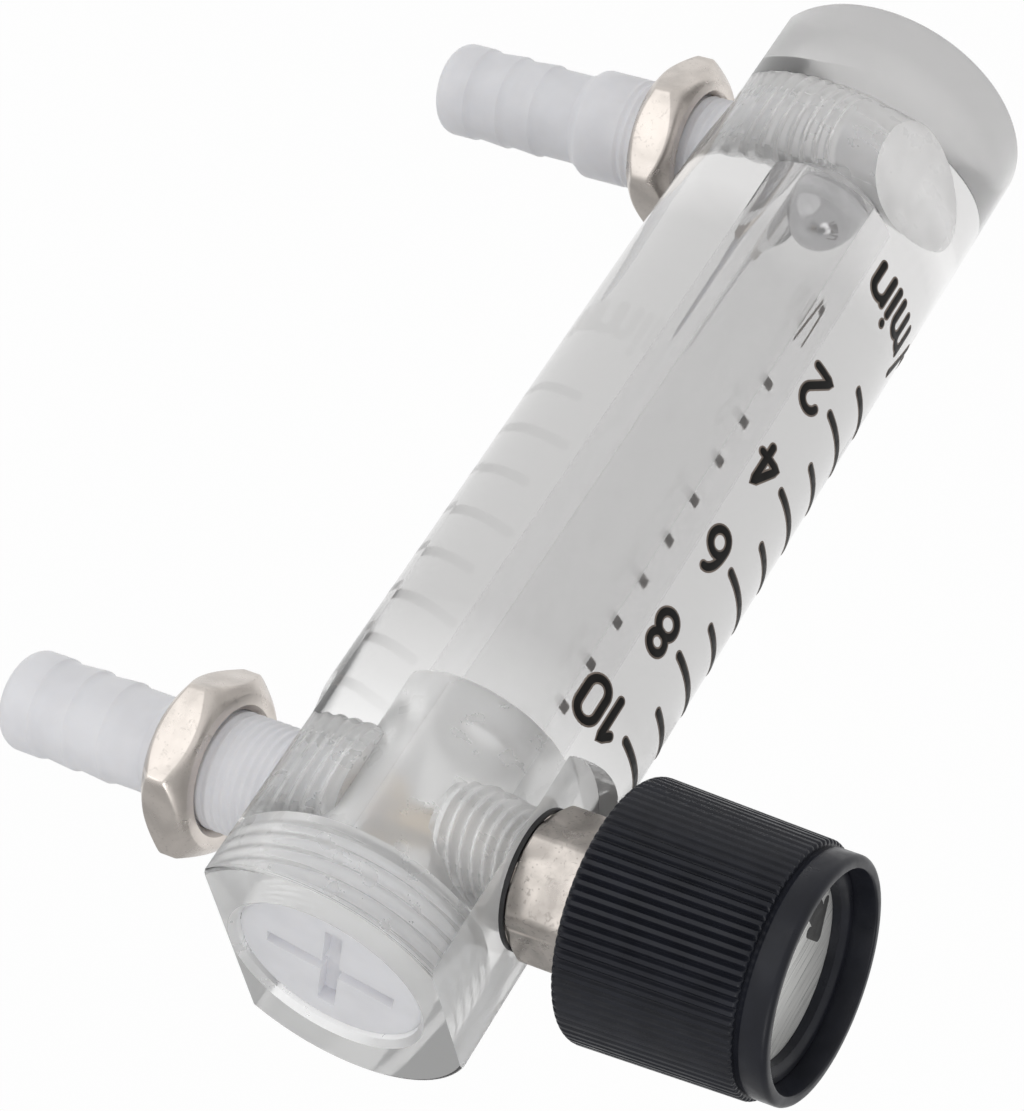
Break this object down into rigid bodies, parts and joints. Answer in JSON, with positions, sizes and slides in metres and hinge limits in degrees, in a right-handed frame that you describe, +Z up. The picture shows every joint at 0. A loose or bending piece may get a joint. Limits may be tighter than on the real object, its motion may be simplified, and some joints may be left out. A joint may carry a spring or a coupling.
{
  "type": "oxygen flowmeter",
  "caption": "Clear round-bar gas flowmeter with a ball float in a tapered tube, a needle valve knob and barbed hose connections with panel nuts.",
  "frame": {"origin": "centre of the flat bottom face of the clear body, on the body's axis", "axes": "+Z up along the body and the float tube, -Y towards the valve knob, +Y towards the hose connections"},
  "size_m": [0.025, 0.0747, 0.1],
  "materials": {
    "clear_acrylic": "polished",
    "white_plastic": "satin",
    "nickel_plate": "satin",
    "black_plastic": "satin",
    "seal_rubber": "matte",
    "ball_steel": "polished",
    "brass": "satin",
    "brushed_disc": "satin"
  },
  "bodies": {
    "frame": {"meter_body": "clear_acrylic", "end_plug": "white_plastic", "end_plug_seal": "seal_rubber", "float_stop": "clear_acrylic", "inlet_fitting": "white_plastic", "outlet_fitting": "white_plastic", "valve_seat": "brass", "valve_bonnet": "nickel_plate", "bonnet_gasket": "seal_rubber"},
    "float": {"float_ball": "ball_steel"},
    "stem_carrier": {"stem_seal": "seal_rubber"},
    "valve": {"valve_stem": "brass", "knob": "black_plastic", "knob_screw": "ball_steel", "knob_disc": "brushed_disc"},
    "inlet_lock": {"inlet_nut": "nickel_plate"},
    "outlet_lock": {"outlet_nut": "nickel_plate"}
  },
  "joints": [
    {"name": "float_rise", "type": "slide", "parent": "frame", "child": "float", "axis": [0, 0, 1], "range_m": [0, 0.05649]},
    {"name": "valve_travel", "type": "slide", "parent": "frame", "child": "stem_carrier", "axis": [0, -1, 0], "range_m": [0, 0.00305]},
    {"name": "valve_turn", "type": "hinge", "parent": "stem_carrier", "child": "valve", "pos_m": [0, -0.0176, 0.086], "axis": [0, -1, 0], "range_deg": [0, 1440]},
    {"name": "inlet_nut_travel", "type": "slide", "parent": "frame", "child": "inlet_lock", "axis": [0, 1, 0], "range_m": [-0.0046, 0.0063]},
    {"name": "outlet_nut_travel", "type": "slide", "parent": "frame", "child": "outlet_lock", "axis": [0, 1, 0], "range_m": [-0.0079, 0.0011]}
  ],
  "couplings": [
    {"joint": "valve_travel", "follows": "valve_turn", "m_per_rad": 0.00011937}
  ]
}
